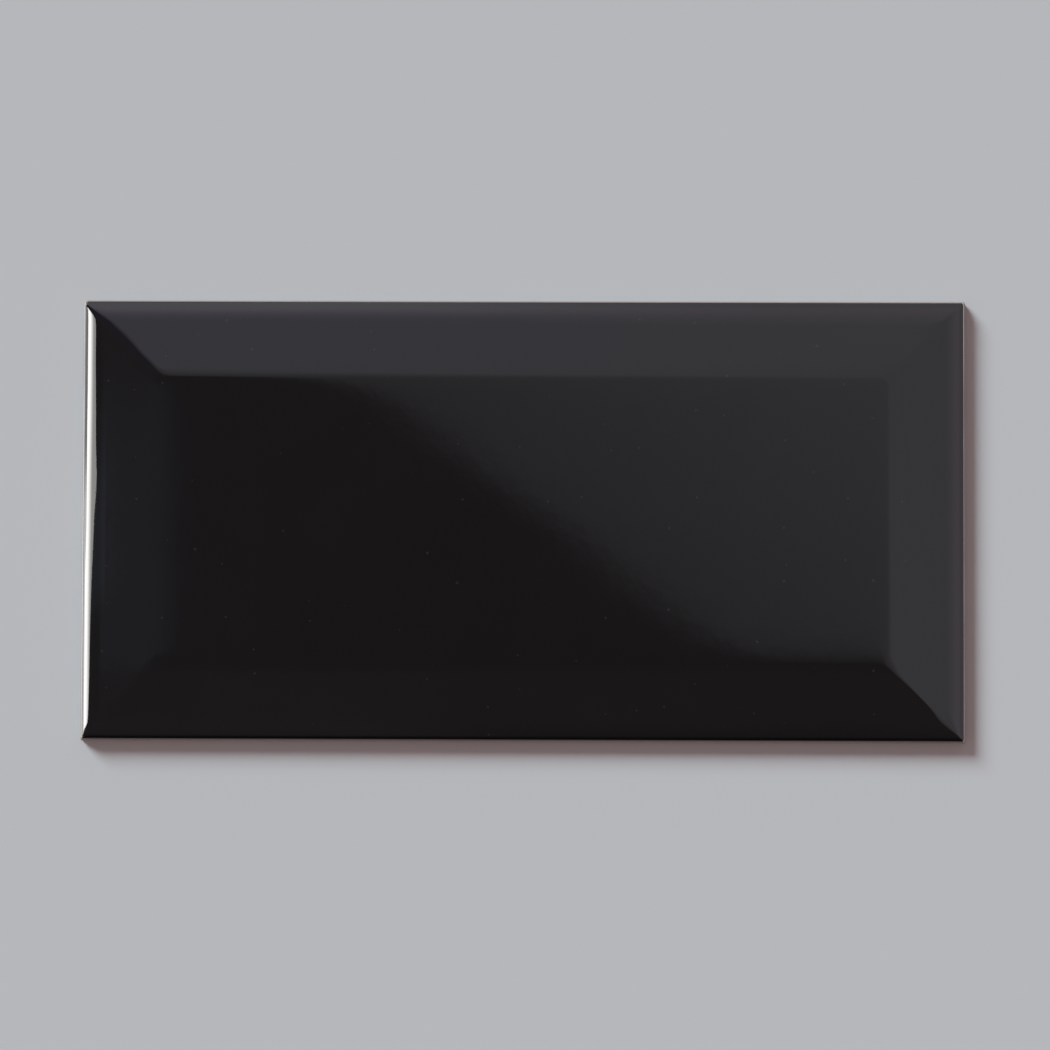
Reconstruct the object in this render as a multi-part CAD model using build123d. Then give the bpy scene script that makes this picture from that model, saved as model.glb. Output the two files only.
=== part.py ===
from build123d import *
import math
import os

# A bevelled wall tile: one piece of clay, pressed, glazed on its face and fired.
# It lies on its back. The origin is the middle of the back, X runs along the length,
# Y across the width and Z up, out through the glazed face. Sizes are in millimetres.

# Outline
TILE_LENGTH = 200.0
TILE_WIDTH = 100.0
CORNER_RADIUS = 0.5  # upright corners of the outline

# Section of every edge, from the foot inwards: each pair is a run in plan and a rise
EDGE_LAND = 1.6  # upright strip that faces the joint between two tiles
SHOULDER_RUN = 0.5  # bare slope from the land in to the line where the glaze ends
SHOULDER_RISE = 1.8
LIP_RUN = 4.2  # rounded lip of the glazed face
LIP_RISE = 1.75
LIP_SLOPE = 50.0  # steepest slope of the lip, where the glaze ends, in degrees
BEVEL_RUN = 12.0  # flat slope between the lip and the crease
BEVEL_RISE = 1.85
CREASE_RADIUS = 18.0  # soft turn from the bevel to the flat field

# Keying channels that grip the adhesive on the back
CHANNEL_WIDTH = 8.0
CHANNEL_DEPTH = 0.7
CHANNEL_DRAFT = 35.0  # lean of the channel walls, in degrees
RIDGE_WIDTH = 6.0  # flat ridge between two channels
BACK_MARGIN = 10.0  # least flat border round the channels

TILE_THICKNESS = EDGE_LAND + SHOULDER_RISE + LIP_RISE + BEVEL_RISE


def lip_corner(glaze_line, steepest, lip_top, bevel):
    """Point where the lip's steepest slope and the bevel would meet if the lip were sharp."""
    reach = (lip_top - glaze_line).cross(bevel).Z / steepest.cross(bevel).Z
    return glaze_line + steepest * reach


def tile_section(span):
    """Section through the tile over one span, with the back on the X axis."""
    shoulder = Vector(-SHOULDER_RUN, SHOULDER_RISE)
    steepest = Vector(-math.cos(math.radians(LIP_SLOPE)), math.sin(math.radians(LIP_SLOPE)))
    bevel = Vector(-BEVEL_RUN, BEVEL_RISE)
    foot = Vector(span / 2, 0)
    land_top = foot + Vector(0, EDGE_LAND)
    glaze_line = land_top + shoulder
    lip_top = glaze_line + Vector(-LIP_RUN, LIP_RISE)
    crease = lip_top + bevel
    bevel_angle = math.atan2(BEVEL_RISE, BEVEL_RUN)
    crease_tangent = CREASE_RADIUS * math.tan(bevel_angle / 2)
    crease_start = crease - bevel.normalized() * crease_tangent
    crease_end = crease - Vector(crease_tangent, 0)

    edge = Curve() + [
        Line(foot, land_top),
        Line(land_top, glaze_line),
        Bezier(glaze_line, lip_corner(glaze_line, steepest, lip_top, bevel), lip_top),
        Line(lip_top, crease_start),
        TangentArc(crease_start, crease_end, tangent=bevel),
    ]
    back = Line((-span / 2, 0), foot)
    field = Line((-crease_end.X, crease_end.Y), crease_end)
    return make_face([edge, mirror(edge, about=Plane.YZ), back, field])


def pressed_blank():
    """Body of the tile: the two sections cross, so that the bevels meet in mitred hips."""
    outline = RectangleRounded(TILE_LENGTH, TILE_WIDTH, CORNER_RADIUS)
    column = extrude(outline, TILE_THICKNESS)
    across = extrude(Plane.YZ * tile_section(TILE_WIDTH), TILE_LENGTH / 2, both=True)
    along = extrude(Plane.XZ * tile_section(TILE_LENGTH), TILE_WIDTH / 2, both=True)
    return column & across & along


def keying_channels():
    """Row of shallow round-ended channels along the tile, as many as its width takes."""
    pitch = CHANNEL_WIDTH + RIDGE_WIDTH
    room = TILE_WIDTH - 2 * BACK_MARGIN
    count = int((room + RIDGE_WIDTH) / pitch)
    mouth = SlotOverall(TILE_LENGTH - 2 * BACK_MARGIN, CHANNEL_WIDTH)
    channel = extrude(mouth, CHANNEL_DEPTH, taper=CHANNEL_DRAFT)
    return GridLocations(0, pitch, 1, count) * channel


wall_tile = pressed_blank() - keying_channels()

os.makedirs("parts", exist_ok=True)
export_step(wall_tile, "parts/wall_tile.step")
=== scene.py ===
import math
import random

import bpy
import numpy as np
from mathutils import Matrix, Vector
from mathutils.geometry import delaunay_2d_cdt


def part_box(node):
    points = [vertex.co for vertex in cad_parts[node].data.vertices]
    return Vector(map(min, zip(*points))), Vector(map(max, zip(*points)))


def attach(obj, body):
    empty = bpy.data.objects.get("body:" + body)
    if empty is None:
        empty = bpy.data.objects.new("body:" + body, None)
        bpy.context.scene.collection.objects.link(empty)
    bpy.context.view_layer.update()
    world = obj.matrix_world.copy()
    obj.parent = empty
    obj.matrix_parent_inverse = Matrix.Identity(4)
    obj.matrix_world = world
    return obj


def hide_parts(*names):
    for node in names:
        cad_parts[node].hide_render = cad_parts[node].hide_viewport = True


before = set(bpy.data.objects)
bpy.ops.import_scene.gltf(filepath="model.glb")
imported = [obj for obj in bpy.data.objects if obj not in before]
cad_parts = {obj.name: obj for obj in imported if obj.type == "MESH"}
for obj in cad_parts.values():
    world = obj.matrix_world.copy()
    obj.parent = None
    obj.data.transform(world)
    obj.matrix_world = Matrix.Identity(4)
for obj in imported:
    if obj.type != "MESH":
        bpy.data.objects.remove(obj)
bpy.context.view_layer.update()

# A gloss black bevelled wall tile on a pale floor, seen from above. Lengths are in metres.
# The tile's length runs along X and its width along Y, and its glazed face looks up.

tile_low, tile_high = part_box("wall_tile")
MM = 0.001
TILE_LENGTH = tile_high[0] - tile_low[0]
TILE_WIDTH = tile_high[1] - tile_low[1]

# Section of every edge, from the foot inwards: each pair is a run in plan and a rise
EDGE_LAND = 1.6 * MM  # upright strip
SHOULDER_RUN = 0.5 * MM  # bare slope in to the line where the glaze ends
SHOULDER_RISE = 1.8 * MM
LIP_RUN = 5.4 * MM  # rounded lip of the glazed face
LIP_RISE = 1.938 * MM
LIP_SLOPE = math.radians(50.0)  # steepest slope of the lip, where the glaze ends
BEVEL_RUN = 10.6 * MM  # flat slope between the lip and the crease
BEVEL_RISE = 1.662 * MM
CREASE_RADIUS = 18.0 * MM  # soft turn from the bevel to the flat field
ARRIS = 0.06 * MM  # tiny chamfer on the hard edges of the bare clay

# The glaze is thin over the crease and the bevel: the field falls off slightly towards them
PILLOW_DROP = 0.026 * MM
PILLOW_REACH = 2.0 * MM
WAVE_DEPTH = 0.006 * MM  # slow unevenness of the glaze
WAVE_LENGTHS = (0.022, 0.031, 0.047, 0.073)
WAVE_SEED = 11

# The glaze softens the hips: the contours turn each corner with a radius that swells inside the lip.
# A row gives by how much, at which inset and over what distance, then the radius at the crease.
CORNER_RADIUS = 0.5 * MM
HIPS = (
    (2.1 * MM, 6.8 * MM, 2.0 * MM, 2.0 * MM),  # top right
    (2.2 * MM, 8.5 * MM, 6.5 * MM, 2.2 * MM),  # top left
    (2.1 * MM, 6.0 * MM, 2.0 * MM, 2.0 * MM),  # bottom left
    (2.4 * MM, 4.6 * MM, 2.2 * MM, 2.5 * MM),  # bottom right
)
CREASE_ROUNDED = (12.0 * MM, 17.0 * MM)  # insets between which the crease's radius sets in
ROUNDING_ENDS = (44.0 * MM, 30.0 * MM)  # and fades out again across the field

# Keying channels in the back
CHANNEL_WIDTH = 8.0 * MM
CHANNEL_DEPTH = 0.7 * MM
CHANNEL_DRAFT = math.radians(35.0)
RIDGE_WIDTH = 6.0 * MM
BACK_MARGIN = 10.0 * MM

# Mesh
CORNER_STEPS = 14
LONG_STEPS = 120
SHORT_STEPS = 60
LIP_STEPS = 36
BEVEL_STEPS = 10
CREASE_STEPS = 12
PILLOW_STEPS = 10
FIELD_STEPS = 10
SPINE_HALF_WIDTH = 2.0 * MM  # of the strip that closes the field along its middle
CHANNEL_END_STEPS = 10
TRIANGLES_INSIDE = 1  # kind of result asked of the triangulation of the back
SAME_POINT = 1e-7  # distance at which the triangulation takes two points for one
SHARP_ANGLE = math.radians(40.0)
GLAZE, CLAY = 0, 1  # material slots of the tile
DRAWN_BACK = 4  # steps of the lip that the glaze leaves bare along the left edge

# Glaze: the scale of a noise, here and below, is in waves to the metre
NOISE_RANGE = (0.3, 0.7)  # values that most of a noise lies between
GLAZE_TONES = ((0.0060, 0.0053, 0.0057, 1.0), (0.0074, 0.0066, 0.0071, 1.0))
GLAZE_CLOUD_SCALE = 60.0
GLAZE_ROUGHNESS = (0.026, 0.040)
GLAZE_ROUGHNESS_SCALE = 35.0
GLAZE_IOR = 1.5
PEEL_NOISE = (240.0, 2.0)  # scale and detail of the orange peel
PEEL_DEPTH = 0.003 * MM

# Specks in the glaze, one in each of some cells of an uneven grid
SPECK_CELLS = 150.0  # cells to the metre
SPECK_PLAIN_SHARE = 0.78  # share of the cells that have none
SPECK_RADIUS = (0.018, 0.050)  # smallest and largest, in widths of a cell
SPECK_BLUR = (-0.006, 0.012)  # from outside its edge to inside, in the same unit
SPECK_COLOUR = (0.040, 0.040, 0.042, 1.0)
SPECK_STRENGTH = 0.32

# Fired clay
CLAY_TONES = ((0.27, 0.225, 0.21, 1.0), (0.33, 0.285, 0.27, 1.0))
CLAY_CLOUD_SCALE = 90.0
CLAY_ROUGHNESS = (0.8, 0.95)
GRAIN_NOISE = (1800.0, 4.0)  # scale and detail
GRAIN_DEPTH = 0.03 * MM
GRAIN_STRENGTH = 0.6
PIT_COLOUR = (0.12, 0.09, 0.08, 1.0)
PITS = (0.62, 0.72, 0.0, 0.5)  # where in the grain they start and are full, and their shares there

# Slip on the clay, up to the glaze: pale on the short ends, paler towards the right and the top as
# painted light, and darker along the long edges just under the glaze
SLIP_SHADED_AND_LIT_TONES = ((0.47, 0.455, 0.46, 1.0), (0.88, 0.87, 0.88, 1.0))  # a shaded and a lit copy of the slip: the paler one is painted light, towards the right and the top
SLIP_PAINTED_LIGHT_SHARES = (0.4, 1.0)  # of the paler tone, which is painted light, from the bottom edge to the top one
SLIP_FOOT = EDGE_LAND + 0.5 * SHOULDER_RISE
SLIP_BLUR = 0.2 * MM
SLIP_WAVER = 0.6 * MM
SLIP_PATCH_SCALE = 22.0
SLIP_PATCHES = (0.42, 0.56, 0.55, 1.0)  # range of the noise, and the shares of slip at its ends
SLIP_SHARES = (0.1, 1.0)  # on the long edges and on the short ends
SLIP_LIP_SHARE = 0.25  # where the glaze has drawn back from the lip
SLIP_LIP_BLUR = 0.1 * MM
END_DEPTH = 0.1 * MM  # how far inside the glaze line a short end still counts as one
# darker colour along the long edges, just under the glaze
DARK_EDGE_COLOUR = (0.17, 0.145, 0.14, 1.0)

# Camera: it leans a little from the upright, towards the bottom and the right of the picture
PICTURE_PIXELS = 1050
PIXELS_PER_METRE = 4415.5  # at the level of the tile's outline
TILE_CENTRE_PIXEL = (522.7, 521.05)
CAMERA_LENS = 135.0
CAMERA_SENSOR = 36.0
CAMERA_CLIP_START = 0.01
CAMERA_LEAN_DOWN = math.radians(2.6)
CAMERA_LEAN_RIGHT = math.radians(0.95)
CAMERA_ROLL = math.radians(0.21)

# Floor and light
FLOOR_COLOUR = (0.468, 0.473, 0.497)
FLOOR_SHADES = (0.997, 1.003)  # of that colour, in faint clouds
FLOOR_CLOUD_SCALE = 25.0
FLOOR_HALF_WIDTH = 6.0
KEY_DIRECTION = (-1.22, 1.31, 1.0)  # from the tile towards the key light
KEY_STRENGTH = 4.40
KEY_COLOUR = (0.850, 1.0, 1.015)
KEY_ANGLE = math.radians(23.0)
FILL_COLOUR = (0.420, 0.318, 0.308, 1.0)

# The room as the glaze mirrors it: a dark half, and a bright one towards the upper right.
# Places are slopes from straight up, or sines where a comment says so. A change is given by the
# places where it starts and ends, then by its level or by its shares at the two places.
LOWEST_RISE = 0.02  # keeps the slopes finite at the horizon
DIVIDE_NORMAL = (0.596, 0.803)  # across the line between the halves, towards the bright one
DIVIDE_PLACE = 0.0284
DIVIDE_MIDDLE = -0.0364  # along that line, which swings round towards its ends
DIVIDE_SWING = 2.5
DIVIDE_REACH = 0.36
DARK_TINT = (1.0, 0.90, 0.94, 1.0)
DARK_LEVEL = 0.055
DARK_OUTWARDS = 0.16  # it is lighter away from straight up, by the sine, as far as DARK_WIDEST
DARK_WIDEST = 0.30
DARK_FALL = (-0.48, -0.62, 1.0, 0.66)  # it dims again low down beyond the left edge
DARK_NEAR = (-0.97, -0.80)  # it goes black low down beyond the bottom edge, by the sine
PATCH_LEVEL = 0.05  # a slightly lighter patch beyond the bottom edge, towards the left
PATCH_SIDE = (-0.02, -0.075)
PATCH_DOWN = (-0.10, -0.60)
BRIGHT_TINT = (0.98, 0.985, 1.07, 1.0)
BRIGHT_STEP = (-0.003, 0.009, 0.215)  # soft step at the line
BRIGHT_RISE = (0.0, 0.124, 0.425)  # slow rise beyond it
LOWER_TINT = (1.0, 0.73, 0.97, 1.0)
LOWER_RISE = (0.42, 0.72, 0.36)  # what is added lower down, by the sine
LOWER_END = (0.95, 0.80, 0.3, 1.0)  # it is weaker again near the horizon, by the sine
# The bright half also ends towards the near side
NEAR_END = (-0.0088, 0.0212)
NEAR_END_SIDE = 0.078  # that end turns away towards the right
NEAR_END_TURN = 1.5
# A paler band low down beyond the top edge, by the sine, with a lamp in it towards the left
FAR_BAND = (0.375, 0.44, 0.10)
FAR_BAND_END = (0.72, 0.46)  # it dies out near the horizon
FAR_BAND_SIDE = (-0.10, 0.09)  # and towards the left
FAR_BAND_FACING = (0.15, 0.40)
FAR_LAMP = (0.44, 0.89, 0.44)
FAR_LAMP_SIDE = (0.06, -0.08)
# A touch of blue there, also towards the left
FAR_BLUE = (0.0, 0.0, 1.0, 1.0)
FAR_BLUE_SIDE = (0.07, -0.09, 0.0, 0.10)
FAR_BLUE_END = (0.85, 0.65)  # it dies out near the horizon, by the sine
# A faint bluish glow beyond the left edge
GLOW_TINT = (0.72, 1.0, 1.45, 1.0)
GLOW_LEVEL = 0.058
GLOW_START = (-0.103, -0.1185)
GLOW_INNER = (-0.35, -0.14, 1.0, 1.6)  # it is stronger close to straight up
GLOW_OUTER = (-0.62, -0.48)  # and dies out further from it
GLOW_LOWER_END = (0.0055, 0.0125)
GLOW_UPPER_END = (0.105, 0.060)
# A brighter spot of it further out
SPOT_LEVEL = 0.14
SPOT_START = (-0.4597, -0.4650)
SPOT_OUTER = (-1.0, -0.55, 0.7, 1.0)  # it is weaker towards the horizon
SPOT_LOWER_END = (0.025, 0.036)
SPOT_UPPER_END = (0.095, 0.055)

# Window that the left lip mirrors: places along Y and Z on an upright plane, with a sloping top
WINDOW_X = -1.2
WINDOW_OUTLINE = (
    (-0.40, 0.02), (0.41, 0.02), (0.41, 1.39), (0.186, 1.405), (0.163, 1.47), (0.140, 1.48),
    (0.130, 1.53), (0.120, 1.605), (0.106, 1.53), (0.094, 1.45), (0.078, 1.355), (0.062, 1.31),
    (0.0455, 1.22), (0.0294, 1.15), (0.013, 1.095), (-0.003, 1.05), (-0.019, 1.03), (-0.034, 0.985),
    (-0.049, 0.92), (-0.0585, 0.74), (-0.068, 0.42), (-0.09, 0.20), (-0.40, 0.10),
)
WINDOW_TINT = (1.0, 0.985, 0.97, 1.0)
WINDOW_LOW = (0.72, 24.0)  # height and strength of its bright lower part
WINDOW_HIGH = (1.22, 6.0)  # the same of its pale upper part
WINDOW_TILT = (0.0, 0.15, -0.12, 0.05)  # both lie higher towards the far end
SILL_HEIGHT = 0.33
SILL_STEPS = ((0.02, 0.055, 0.16), (0.10, 0.13, 0.04))  # where and by how much the sill steps up
SILL_STRENGTH = (0.055, 0.095, 10.0, 3.0)  # it is dimmer towards the far end
SILL_BLUR = 0.04


def lip_curve():
    """Insets and heights of the rounded lip, from the glaze line up to the bevel."""
    start = np.array((SHOULDER_RUN, EDGE_LAND + SHOULDER_RISE))
    end = start + np.array((LIP_RUN, LIP_RISE))
    steep = np.array((math.cos(LIP_SLOPE), math.sin(LIP_SLOPE)))
    bevel = np.array((BEVEL_RUN, BEVEL_RISE))
    reach = np.linalg.solve(np.column_stack((steep, bevel)), end - start)[0]
    corner = start + reach * steep
    t = np.linspace(0.0, 1.0, LIP_STEPS + 1)[:, None]
    return (1 - t) ** 2 * start + 2 * t * (1 - t) * corner + t ** 2 * end


def crease_curve(crease):
    """Insets and heights of the soft turn from the bevel to the field."""
    angle = math.atan2(BEVEL_RISE, BEVEL_RUN)
    centre = crease + np.array((CREASE_RADIUS * math.tan(angle / 2), -CREASE_RADIUS))
    turn = np.linspace(angle, 0.0, CREASE_STEPS + 1)
    return centre + CREASE_RADIUS * np.column_stack((-np.sin(turn), np.cos(turn)))


def face_profile():
    """Insets and heights of the glazed face, from the glaze line to the spine of the field."""
    lip = lip_curve()
    crease = lip[-1] + np.array((BEVEL_RUN, BEVEL_RISE))
    turn = crease_curve(crease)
    bevel = np.linspace(lip[-1], turn[0], BEVEL_STEPS + 1)
    pillow_end = turn[-1] + np.array((2 * PILLOW_REACH, 0.0))
    pillow = np.linspace(turn[-1], pillow_end, PILLOW_STEPS + 1)
    spine = np.array((TILE_WIDTH / 2 - SPINE_HALF_WIDTH, crease[1]))
    field = np.linspace(pillow_end, spine, FIELD_STEPS + 1)
    profile = np.vstack((lip, bevel[1:], turn[1:], pillow[1:], field[1:]))
    past_crease = np.maximum(profile[:, 0] - crease[0], 0.0)
    sunk = PILLOW_DROP * np.exp(-past_crease / PILLOW_REACH)
    on_lip = np.clip((profile[:, 0] - lip[0, 0]) / LIP_RUN, 0.0, 1.0)
    profile[:, 1] -= sunk * on_lip
    return profile


def edge_profile():
    """Insets and heights of the bare edge, from the foot up to the glaze line."""
    lean = np.array((SHOULDER_RUN, SHOULDER_RISE)) / math.hypot(SHOULDER_RUN, SHOULDER_RISE)
    land_top = np.array((0.0, EDGE_LAND))
    glaze_line = np.array((SHOULDER_RUN, EDGE_LAND + SHOULDER_RISE))
    return np.array((
        (ARRIS, 0.0),
        (0.0, ARRIS),
        land_top - (0.0, ARRIS),
        land_top + ARRIS * lean,
        (land_top + glaze_line) / 2,
        glaze_line,
    ))


def corner_radius(hip, inset):
    """Radius with which the contour at an inset turns one corner."""
    swell, place, spread, crease = hip
    soft = swell * math.exp(-((inset - place) / spread) ** 2)
    set_in = np.interp(inset, CREASE_ROUNDED, (0.0, 1.0))
    fade = np.interp(-inset, [-end for end in ROUNDING_ENDS], (0.0, 1.0))
    return CORNER_RADIUS + soft + (crease - CORNER_RADIUS) * set_in * fade


def contour(inset):
    """Points of a rounded oblong inside the outline, anticlockwise from its right end."""
    arcs = []
    for quarter, (side_x, side_y) in enumerate(((1, 1), (-1, 1), (-1, -1), (1, -1))):
        radius = corner_radius(HIPS[quarter], inset)
        middle = np.array((
            side_x * (TILE_LENGTH / 2 - inset - radius), side_y * (TILE_WIDTH / 2 - inset - radius)))
        turn = np.linspace(0.0, math.pi / 2, CORNER_STEPS + 1) + quarter * math.pi / 2
        arcs.append(middle + radius * np.column_stack((np.cos(turn), np.sin(turn))))
    points = []
    for quarter, steps in enumerate((LONG_STEPS, SHORT_STEPS) * 2):
        side = np.linspace(arcs[quarter][-1], arcs[(quarter + 1) % 4][0], steps + 1)
        points.extend((arcs[quarter], side[1:-1]))
    return np.vstack(points)


def glaze_waves(points):
    """Depth of the glaze's slow unevenness at each point, from 0 to WAVE_DEPTH."""
    chance = random.Random(WAVE_SEED)
    total = np.zeros(len(points))
    for length in WAVE_LENGTHS:
        heading = chance.uniform(0.0, math.pi)
        phase = chance.uniform(0.0, 2 * math.pi)
        along = points[:, 0] * math.cos(heading) + points[:, 1] * math.sin(heading)
        total += np.sin(2 * math.pi * along / length + phase)
    return WAVE_DEPTH * (0.5 + 0.5 * total / len(WAVE_LENGTHS))


def stacked_contours(profile):
    """One contour for each inset and height of a profile, as an array of rings of points."""
    rings = []
    for inset, height in profile:
        flat = contour(inset)
        rings.append(np.column_stack((flat, np.full(len(flat), height))))
    return np.array(rings)


def bands(ring_count, ring_size):
    """Four-sided faces between each ring and the next."""
    here = np.arange(ring_size)
    ahead = np.roll(here, -1)
    quad = np.column_stack((here, ahead, ahead + ring_size, here + ring_size))
    return [tuple(face) for ring in range(ring_count - 1) for face in quad + ring * ring_size]


def spine_cap(first, ring_size):
    """Faces that close the innermost ring: a strip of quads and a face at each end."""
    top = [first + CORNER_STEPS + step for step in range(LONG_STEPS + 1)]
    half = ring_size // 2
    bottom = [index + half for index in top]
    strip = [
        (top[step], top[step + 1], bottom[LONG_STEPS - step - 1], bottom[LONG_STEPS - step])
        for step in range(LONG_STEPS)
    ]
    left = list(range(top[-1], bottom[0] + 1))
    right = list(range(bottom[-1], first + ring_size)) + list(range(first, top[0] + 1))
    return strip + [tuple(left), tuple(right)]


def channel_outline(middle, inset):
    """Points of one round-ended keying channel, anticlockwise."""
    reach = TILE_LENGTH / 2 - BACK_MARGIN - CHANNEL_WIDTH / 2
    radius = CHANNEL_WIDTH / 2 - inset
    turn = np.linspace(-math.pi / 2, math.pi / 2, CHANNEL_END_STEPS + 1)
    right = np.column_stack((reach + radius * np.cos(turn), middle + radius * np.sin(turn)))
    left = np.column_stack((-reach - radius * np.cos(turn), middle - radius * np.sin(turn)))
    return np.vstack((right, left))


def keyed_back(foot):
    """Points and faces of the back: a flat plane round the sunk channels, inside the foot ring."""
    pitch = CHANNEL_WIDTH + RIDGE_WIDTH
    count = int((TILE_WIDTH - 2 * BACK_MARGIN + RIDGE_WIDTH) / pitch)
    lean = CHANNEL_DEPTH * math.tan(CHANNEL_DRAFT)
    mouths, floors = [], []
    for row in range(count):
        middle = (row - (count - 1) / 2) * pitch
        mouths.append(channel_outline(middle, 0.0))
        floors.append(channel_outline(middle, lean))
    size = len(mouths[0])

    loops = [np.arange(len(foot))]
    for row in range(count):
        loops.append(len(foot) + row * size + np.arange(size))
    edges = [(int(a), int(b)) for loop in loops for a, b in zip(loop, np.roll(loop, -1))]
    plane = [Vector(point) for point in np.vstack([foot[:, :2]] + mouths)]
    triangles, origins = delaunay_2d_cdt(plane, edges, [], TRIANGLES_INSIDE, SAME_POINT)[2:4]
    source = [points[0] for points in origins]
    faces = [tuple(source[corner] for corner in reversed(face)) for face in triangles]
    # A face with all its corners on one mouth lies across that channel, which stays open
    owner = np.concatenate((np.zeros(len(foot), int), np.repeat(np.arange(1, count + 1), size)))
    faces = [face for face in faces if owner[face[0]] == 0 or len(set(owner[list(face)])) > 1]

    floor_start = len(foot) + count * size
    for row in range(count):
        mouth = loops[row + 1]
        floor = floor_start + row * size + np.arange(size)
        for a, b in zip(range(size), np.roll(np.arange(size), -1)):
            faces.append((int(mouth[b]), int(mouth[a]), int(floor[a]), int(floor[b])))
        faces.append(tuple(int(corner) for corner in reversed(floor)))
    rims = np.column_stack((np.vstack(mouths), np.zeros(count * size)))
    beds = np.column_stack((np.vstack(floors), np.full(count * size, CHANNEL_DEPTH)))
    return np.vstack((rims, beds)), faces


def make_tile():
    """The whole tile as one closed mesh: bare edge and keyed back, glazed lip, bevel and field."""
    edge = edge_profile()
    face = face_profile()
    rings = stacked_contours(np.vstack((edge, face[1:])))
    ring_count, ring_size = rings.shape[:2]
    glazed = rings[len(edge):].reshape(-1, 3)
    calm = np.clip((glazed[:, 2] - edge[-1, 1]) / LIP_RISE, 0.0, 1.0)
    glazed[:, 2] -= glaze_waves(glazed) * calm
    rings[len(edge):] = glazed.reshape(-1, ring_size, 3)

    side_faces = bands(ring_count, ring_size)
    cap_faces = spine_cap((ring_count - 1) * ring_size, ring_size)
    extra_points, back_faces = keyed_back(rings[0])
    offset = ring_count * ring_size - ring_size
    back_faces = [
        tuple(corner if corner < ring_size else corner + offset for corner in face)
        for face in back_faces
    ]
    points = np.vstack((rings.reshape(-1, 3), extra_points))

    mesh = bpy.data.meshes.new("glazed_tile")
    mesh.from_pydata(points.tolist(), [], side_faces + cap_faces + back_faces)
    side_slots = np.full((ring_count - 1, ring_size), GLAZE)
    side_slots[:len(edge) - 1] = CLAY
    left_start = CORNER_STEPS + LONG_STEPS + CORNER_STEPS // 2
    side_slots[:len(edge) - 1 + DRAWN_BACK, left_start:left_start + CORNER_STEPS + SHORT_STEPS] = CLAY
    slots = side_slots.ravel().tolist() + [GLAZE] * len(cap_faces) + [CLAY] * len(back_faces)
    mesh.polygons.foreach_set("material_index", slots)
    mesh.polygons.foreach_set("use_smooth", [True] * len(slots))
    mesh.set_sharp_from_angle(angle=SHARP_ANGLE)
    mesh.update()
    mesh.validate()
    tile = bpy.data.objects.new("glazed_tile", mesh)
    bpy.context.scene.collection.objects.link(tile)
    return tile


class Graph:
    """Adds nodes to a node tree and links them: an input is a number, a colour or another socket."""

    def __init__(self, tree):
        self.tree = tree
        self.tree.nodes.clear()

    def add(self, kind, inputs=None, **settings):
        node = self.tree.nodes.new(kind)
        for name, value in settings.items():
            setattr(node, name, value)
        for name, value in (inputs or {}).items():
            self.feed(node.inputs[name], value)
        return node

    def feed(self, socket, value):
        if isinstance(value, bpy.types.NodeSocket):
            self.tree.links.new(value, socket)
        else:
            socket.default_value = value

    def place(self):
        """Place on the object, in metres."""
        return self.add("ShaderNodeTexCoord").outputs["Object"]

    def parts(self, vector):
        """The three parts of a vector."""
        return self.add("ShaderNodeSeparateXYZ", {"Vector": vector}).outputs

    def math(self, operation, *values):
        node = self.add("ShaderNodeMath", operation=operation)
        for socket, value in zip(node.inputs, values):
            self.feed(socket, value)
        return node.outputs[0]

    def product(self, *values):
        total = values[0]
        for value in values[1:]:
            total = self.math("MULTIPLY", total, value)
        return total

    def ramp(self, value, low, high, to_low=0.0, to_high=1.0, smooth=True):
        """Maps low..high to to_low..to_high and holds the ends."""
        node = self.add("ShaderNodeMapRange", {
            "Value": value, "From Min": low, "From Max": high, "To Min": to_low, "To Max": to_high,
        }, interpolation_type="SMOOTHSTEP" if smooth else "LINEAR")
        return node.outputs["Result"]

    def rise(self, value, low, high, level, smooth=True):
        """Rise from nothing at low to a level at high."""
        return self.ramp(value, low, high, 0.0, level, smooth)

    def noise(self, place, scale, detail=3.0):
        node = self.add("ShaderNodeTexNoise", {"Vector": place, "Scale": scale, "Detail": detail})
        return node.outputs["Fac"]

    def mix(self, factor, first, second):
        node = self.add("ShaderNodeMix", data_type="RGBA")
        colours = [socket for socket in node.inputs if socket.type == "RGBA"]
        self.feed(node.inputs["Factor"], factor)
        self.feed(colours[0], first)
        self.feed(colours[1], second)
        return next(socket for socket in node.outputs if socket.type == "RGBA")

    def background(self, colour, strength):
        node = self.add("ShaderNodeBackground", {"Color": colour, "Strength": strength})
        return node.outputs["Background"]

    def both(self, first, second):
        """Sum of two shaders."""
        node = self.add("ShaderNodeAddShader")
        self.feed(node.inputs[0], first)
        self.feed(node.inputs[1], second)
        return node.outputs["Shader"]

    def choose(self, factor, first, second):
        """First shader where the factor is 0 and the second where it is 1."""
        node = self.add("ShaderNodeMixShader", {"Fac": factor})
        self.feed(node.inputs[1], first)
        self.feed(node.inputs[2], second)
        return node.outputs["Shader"]


def new_material(name):
    material = bpy.data.materials.new(name)
    material.use_nodes = True
    return material, Graph(material.node_tree)


def specks(graph, place):
    """Mask of a few small round specks in the glaze, of uneven size."""
    cells = graph.add(
        "ShaderNodeTexVoronoi", {"Vector": place, "Scale": SPECK_CELLS}, voronoi_dimensions="2D")
    pick = graph.add("ShaderNodeSeparateColor", {"Color": cells.outputs["Color"]})
    chosen = graph.math("GREATER_THAN", pick.outputs["Red"], SPECK_PLAIN_SHARE)
    radius = graph.ramp(pick.outputs["Green"], 0.0, 1.0, *SPECK_RADIUS, smooth=False)
    depth = graph.math("SUBTRACT", radius, cells.outputs["Distance"])
    return graph.product(chosen, graph.ramp(depth, *SPECK_BLUR))


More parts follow.
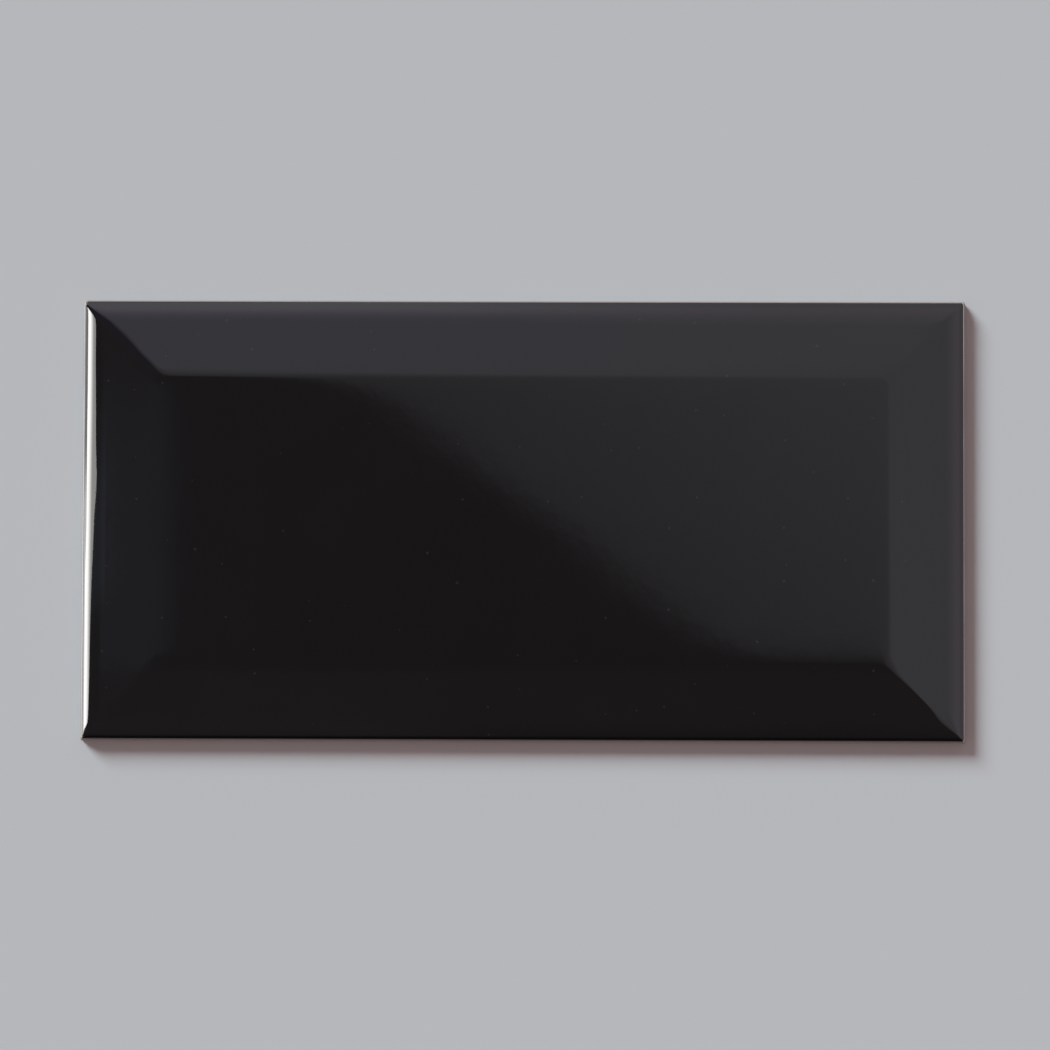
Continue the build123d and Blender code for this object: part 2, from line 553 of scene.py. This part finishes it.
def black_glaze():
    """Deep black gloss glaze: faint orange peel, slow clouds and a few specks."""
    material, graph = new_material("black_glaze")
    place = graph.place()
    dots = graph.product(specks(graph, place), SPECK_STRENGTH)
    tone = graph.mix(graph.noise(place, GLAZE_CLOUD_SCALE), *GLAZE_TONES)
    cloud = graph.noise(place, GLAZE_ROUGHNESS_SCALE)
    peel = graph.add("ShaderNodeBump", {
        "Height": graph.noise(place, *PEEL_NOISE), "Distance": PEEL_DEPTH, "Strength": 1.0})
    shader = graph.add("ShaderNodeBsdfPrincipled", {
        "Base Color": graph.mix(dots, tone, SPECK_COLOUR),
        "Roughness": graph.ramp(cloud, *NOISE_RANGE, *GLAZE_ROUGHNESS, smooth=False),
        "IOR": GLAZE_IOR, "Normal": peel.outputs["Normal"]})
    graph.add("ShaderNodeOutputMaterial", {"Surface": shader.outputs["BSDF"]})
    return material


def slip_on_clay(graph, place, cloud, clay):
    """Colour of the clay with its slip: painted light makes the slip paler towards the right and the
    top, and it is darker along the long edges just under the glaze.
    """
    along, across, height = graph.parts(place)
    end_place = TILE_LENGTH / 2 - SHOULDER_RUN - END_DEPTH
    on_end = graph.math("GREATER_THAN", graph.math("ABSOLUTE", along), end_place)
    cover = graph.ramp(on_end, 0.0, 1.0, *SLIP_SHARES, smooth=False)
    glaze_line = EDGE_LAND + SHOULDER_RISE
    thin = graph.ramp(height, glaze_line, glaze_line + SLIP_LIP_BLUR, 1.0, SLIP_LIP_SHARE)
    patches = graph.ramp(graph.noise(place, SLIP_PATCH_SCALE), *SLIP_PATCHES)
    waver = graph.math("MULTIPLY", graph.math("SUBTRACT", cloud, 0.5), SLIP_WAVER)
    wavy_height = graph.math("ADD", height, waver)
    slip = graph.ramp(wavy_height, SLIP_FOOT - SLIP_BLUR, SLIP_FOOT + SLIP_BLUR)
    # Painted light: the slip is paler towards the right and towards the top
    painted_light = graph.product(
        graph.ramp(along, -TILE_LENGTH / 2, TILE_LENGTH / 2),
        graph.ramp(across, -TILE_WIDTH / 2, TILE_WIDTH / 2, *SLIP_PAINTED_LIGHT_SHARES))
    colour = graph.mix(graph.product(slip, patches, cover, thin), clay, graph.mix(painted_light, *SLIP_SHADED_AND_LIT_TONES))
    # Darker along the long edges, just under the glaze
    dark_edge = graph.product(slip, graph.math("SUBTRACT", 1.0, on_end))
    return graph.mix(dark_edge, colour, DARK_EDGE_COLOUR)


def fired_clay():
    """Bare fired clay: warm grey-brown and grainy, with patchy slip up to the glaze that carries
    painted light.
    """
    material, graph = new_material("fired_clay")
    place = graph.place()
    grain = graph.noise(place, *GRAIN_NOISE)
    cloud = graph.noise(place, CLAY_CLOUD_SCALE)
    clay = graph.mix(graph.ramp(grain, *PITS), graph.mix(cloud, *CLAY_TONES), PIT_COLOUR)
    bump = graph.add("ShaderNodeBump", {
        "Height": grain, "Distance": GRAIN_DEPTH, "Strength": GRAIN_STRENGTH})
    shader = graph.add("ShaderNodeBsdfPrincipled", {
        "Base Color": slip_on_clay(graph, place, cloud, clay),
        "Roughness": graph.ramp(grain, *NOISE_RANGE, *CLAY_ROUGHNESS, smooth=False),
        "Normal": bump.outputs["Normal"]})
    graph.add("ShaderNodeOutputMaterial", {"Surface": shader.outputs["BSDF"]})
    return material


def make_camera():
    """Camera that sees the tile's centre at its pixel, at the picture's scale."""
    camera = bpy.data.objects.new("camera", bpy.data.cameras.new("camera"))
    bpy.context.scene.collection.objects.link(camera)
    camera.data.lens = CAMERA_LENS
    camera.data.sensor_width = CAMERA_SENSOR
    camera.data.clip_start = CAMERA_CLIP_START
    distance = PICTURE_PIXELS / PIXELS_PER_METRE * CAMERA_LENS / CAMERA_SENSOR
    aim_x = (PICTURE_PIXELS / 2 - TILE_CENTRE_PIXEL[0]) / PIXELS_PER_METRE
    aim_y = (TILE_CENTRE_PIXEL[1] - PICTURE_PIXELS / 2) / PIXELS_PER_METRE
    target = Vector((aim_x, aim_y, EDGE_LAND))
    away = Vector((math.tan(CAMERA_LEAN_RIGHT), -math.tan(CAMERA_LEAN_DOWN), 1.0)).normalized()
    camera.location = target + distance * away
    up = Vector((-math.sin(CAMERA_ROLL), math.cos(CAMERA_ROLL), 0.0))
    right = up.cross(away).normalized()
    up = away.cross(right)
    camera.rotation_euler = Matrix((right, up, away)).transposed().to_euler()
    bpy.context.scene.camera = camera


def make_plane(name, corners, material):
    """One flat face that belongs to the stage and not to the tile."""
    mesh = bpy.data.meshes.new(name)
    mesh.from_pydata(corners, [], [tuple(range(len(corners)))])
    plane = bpy.data.objects.new(name, mesh)
    plane.data.materials.append(material)
    bpy.context.scene.collection.objects.link(plane)
    return plane


def floor_paint():
    """Matt pale grey with faint clouds."""
    material, graph = new_material("floor_paint")
    low, high = [tuple(shade * part for part in FLOOR_COLOUR) + (1.0,) for shade in FLOOR_SHADES]
    shader = graph.add("ShaderNodeBsdfPrincipled", {
        "Base Color": graph.mix(graph.noise(graph.place(), FLOOR_CLOUD_SCALE), low, high),
        "Roughness": 1.0, "Specular IOR Level": 0.0})
    graph.add("ShaderNodeOutputMaterial", {"Surface": shader.outputs["BSDF"]})
    return material


def make_floor():
    half = FLOOR_HALF_WIDTH
    corners = [(-half, -half, 0.0), (half, -half, 0.0), (half, half, 0.0), (-half, half, 0.0)]
    make_plane("floor", corners, floor_paint())


def make_key_light():
    """Large soft light from the upper left: shadows fall to the right and below."""
    data = bpy.data.lights.new("key", "SUN")
    data.energy = KEY_STRENGTH
    data.angle = KEY_ANGLE
    data.color = KEY_COLOUR
    key = bpy.data.objects.new("key", data)
    key.rotation_euler = (-Vector(KEY_DIRECTION)).to_track_quat("-Z", "Y").to_euler()
    key.visible_glossy = False
    bpy.context.scene.collection.objects.link(key)


class Outlook:
    """Where a mirrored ray looks: its direction, its slopes and its sine from straight up."""

    def __init__(self, graph):
        direction = graph.add("ShaderNodeTexCoord").outputs["Generated"]
        self.x, self.y, z = graph.parts(direction)
        rise = graph.math("MAXIMUM", z, LOWEST_RISE)
        self.slope_x = graph.math("DIVIDE", self.x, rise)
        self.slope_y = graph.math("DIVIDE", self.y, rise)
        square = graph.math("SUBTRACT", 1.0, graph.math("MULTIPLY", z, z))
        self.sine = graph.math("SQRT", graph.math("MAXIMUM", square, 0.0))


def across_divide(graph, look):
    """How far a slope lies beyond the line between the halves, towards the bright one."""
    along = graph.math("MULTIPLY_ADD", look.slope_x, DIVIDE_NORMAL[1], -DIVIDE_MIDDLE)
    along = graph.math("MULTIPLY_ADD", look.slope_y, -DIVIDE_NORMAL[0], along)
    along = graph.math("MINIMUM", graph.math("MAXIMUM", along, -DIVIDE_REACH), DIVIDE_REACH)
    across = graph.math("MULTIPLY_ADD", look.slope_x, DIVIDE_NORMAL[0], -DIVIDE_PLACE)
    across = graph.math("MULTIPLY_ADD", look.slope_y, DIVIDE_NORMAL[1], across)
    return graph.math("ADD", across, graph.product(along, along, along, DIVIDE_SWING))


def dark_half(graph, look):
    """Light of the dark half, which lies under the bright one too."""
    spread = graph.math("MINIMUM", look.sine, DARK_WIDEST)
    level = graph.math("MULTIPLY_ADD", spread, DARK_OUTWARDS, DARK_LEVEL)
    patch = graph.product(
        graph.ramp(look.slope_x, *PATCH_SIDE), graph.ramp(look.slope_y, *PATCH_DOWN), PATCH_LEVEL)
    return graph.product(
        graph.math("ADD", level, patch), graph.ramp(look.y, *DARK_NEAR),
        graph.ramp(look.slope_x, *DARK_FALL))


def far_band(graph, look):
    """Light of the band beyond the top edge, with its lamp."""
    band = graph.product(
        graph.rise(look.sine, *FAR_BAND), graph.ramp(look.sine, *FAR_BAND_END),
        graph.ramp(look.x, *FAR_BAND_SIDE))
    lamp = graph.product(graph.rise(look.sine, *FAR_LAMP), graph.ramp(look.x, *FAR_LAMP_SIDE))
    return graph.product(graph.math("ADD", band, lamp), graph.ramp(look.y, *FAR_BAND_FACING))


def bright_half(graph, look):
    """Light of the bright half, and what is added to it lower down in another tint."""
    across = across_divide(graph, look)
    step_start, step_end, step_level = BRIGHT_STEP
    lit = graph.ramp(across, step_start, step_end)
    slow = graph.rise(across, *BRIGHT_RISE, smooth=False)
    level = graph.math("ADD", far_band(graph, look), step_level)
    bright = graph.math("MULTIPLY_ADD", lit, level, slow)
    beside = graph.math("MAXIMUM", graph.math("SUBTRACT", look.slope_x, NEAR_END_SIDE), 0.0)
    near = graph.ramp(graph.math("MULTIPLY_ADD", beside, NEAR_END_TURN, look.slope_y), *NEAR_END)
    lower = graph.product(
        graph.rise(look.sine, *LOWER_RISE), graph.ramp(look.sine, *LOWER_END), lit, near)
    return graph.product(bright, near), lower


def far_blue(graph, look):
    """Light of the touch of blue beyond the top edge."""
    return graph.product(
        graph.ramp(look.slope_x, *FAR_BLUE_SIDE), graph.ramp(look.y, *FAR_BAND_FACING),
        graph.ramp(look.sine, *FAR_BLUE_END))


def left_glow(graph, look):
    """Light of the glow beyond the left edge, with its brighter spot."""
    glow = graph.product(
        graph.ramp(look.slope_x, *GLOW_START, smooth=False), graph.ramp(look.slope_y, *GLOW_LOWER_END),
        graph.ramp(look.slope_y, *GLOW_UPPER_END), graph.ramp(look.slope_x, *GLOW_INNER),
        graph.ramp(look.slope_x, *GLOW_OUTER), GLOW_LEVEL)
    spot = graph.product(
        graph.ramp(look.slope_x, *SPOT_START, smooth=False), graph.ramp(look.slope_y, *SPOT_LOWER_END),
        graph.ramp(look.slope_y, *SPOT_UPPER_END), graph.ramp(look.slope_x, *SPOT_OUTER), SPOT_LEVEL)
    return graph.math("ADD", glow, spot)


def mirrored_room(graph):
    """The room as the glaze mirrors it: its lights added up, each in its own tint."""
    look = Outlook(graph)
    bright, lower = bright_half(graph, look)
    room = graph.background(DARK_TINT, dark_half(graph, look))
    room = graph.both(room, graph.background(BRIGHT_TINT, bright))
    room = graph.both(room, graph.background(LOWER_TINT, lower))
    room = graph.both(room, graph.background(FAR_BLUE, far_blue(graph, look)))
    return graph.both(room, graph.background(GLOW_TINT, left_glow(graph, look)))


def make_world():
    """The room where gloss mirrors it, an even fill elsewhere, and the floor's colour behind it all."""
    world = bpy.data.worlds.new("studio")
    world.use_nodes = True
    bpy.context.scene.world = world
    graph = Graph(world.node_tree)
    path = graph.add("ShaderNodeLightPath")
    fill = graph.background(FILL_COLOUR, 1.0)
    behind = graph.background(FLOOR_COLOUR + (1.0,), 1.0)
    lighting = graph.choose(path.outputs["Is Glossy Ray"], fill, mirrored_room(graph))
    seen = graph.choose(path.outputs["Is Camera Ray"], lighting, behind)
    graph.add("ShaderNodeOutputWorld", {"Surface": seen})


def window_light():
    """Light of the window: pale at the top, brightest below, over a dim sill that steps up."""
    material, graph = new_material("window")
    side, height = graph.parts(graph.place())[1:]
    level = graph.math("SUBTRACT", height, graph.ramp(side, *WINDOW_TILT, smooth=False))
    pane = graph.ramp(level, WINDOW_LOW[0], WINDOW_HIGH[0], WINDOW_LOW[1], WINDOW_HIGH[1])
    sill_top = SILL_HEIGHT
    for step in SILL_STEPS:
        sill_top = graph.math("ADD", graph.rise(side, *step), sill_top)
    above = graph.ramp(graph.math("SUBTRACT", height, sill_top), -SILL_BLUR, SILL_BLUR)
    sill = graph.ramp(side, *SILL_STRENGTH)
    strength = graph.math("MULTIPLY_ADD", above, graph.math("SUBTRACT", pane, sill), sill)
    emission = graph.add("ShaderNodeEmission", {"Color": WINDOW_TINT, "Strength": strength})
    graph.add("ShaderNodeOutputMaterial", {"Surface": emission.outputs["Emission"]})
    return material


def make_window():
    """Window that only gloss shows."""
    corners = [(WINDOW_X, y, z) for y, z in WINDOW_OUTLINE]
    window = make_plane("window", corners, window_light())
    window.visible_camera = False
    window.visible_diffuse = False
    window.visible_shadow = False


tile = make_tile()
tile.data.materials.append(black_glaze())
tile.data.materials.append(fired_clay())
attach(tile, "root")
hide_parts("wall_tile")

make_camera()
make_floor()
make_key_light()
make_world()
make_window()
bpy.context.scene.view_settings.view_transform = "Standard"
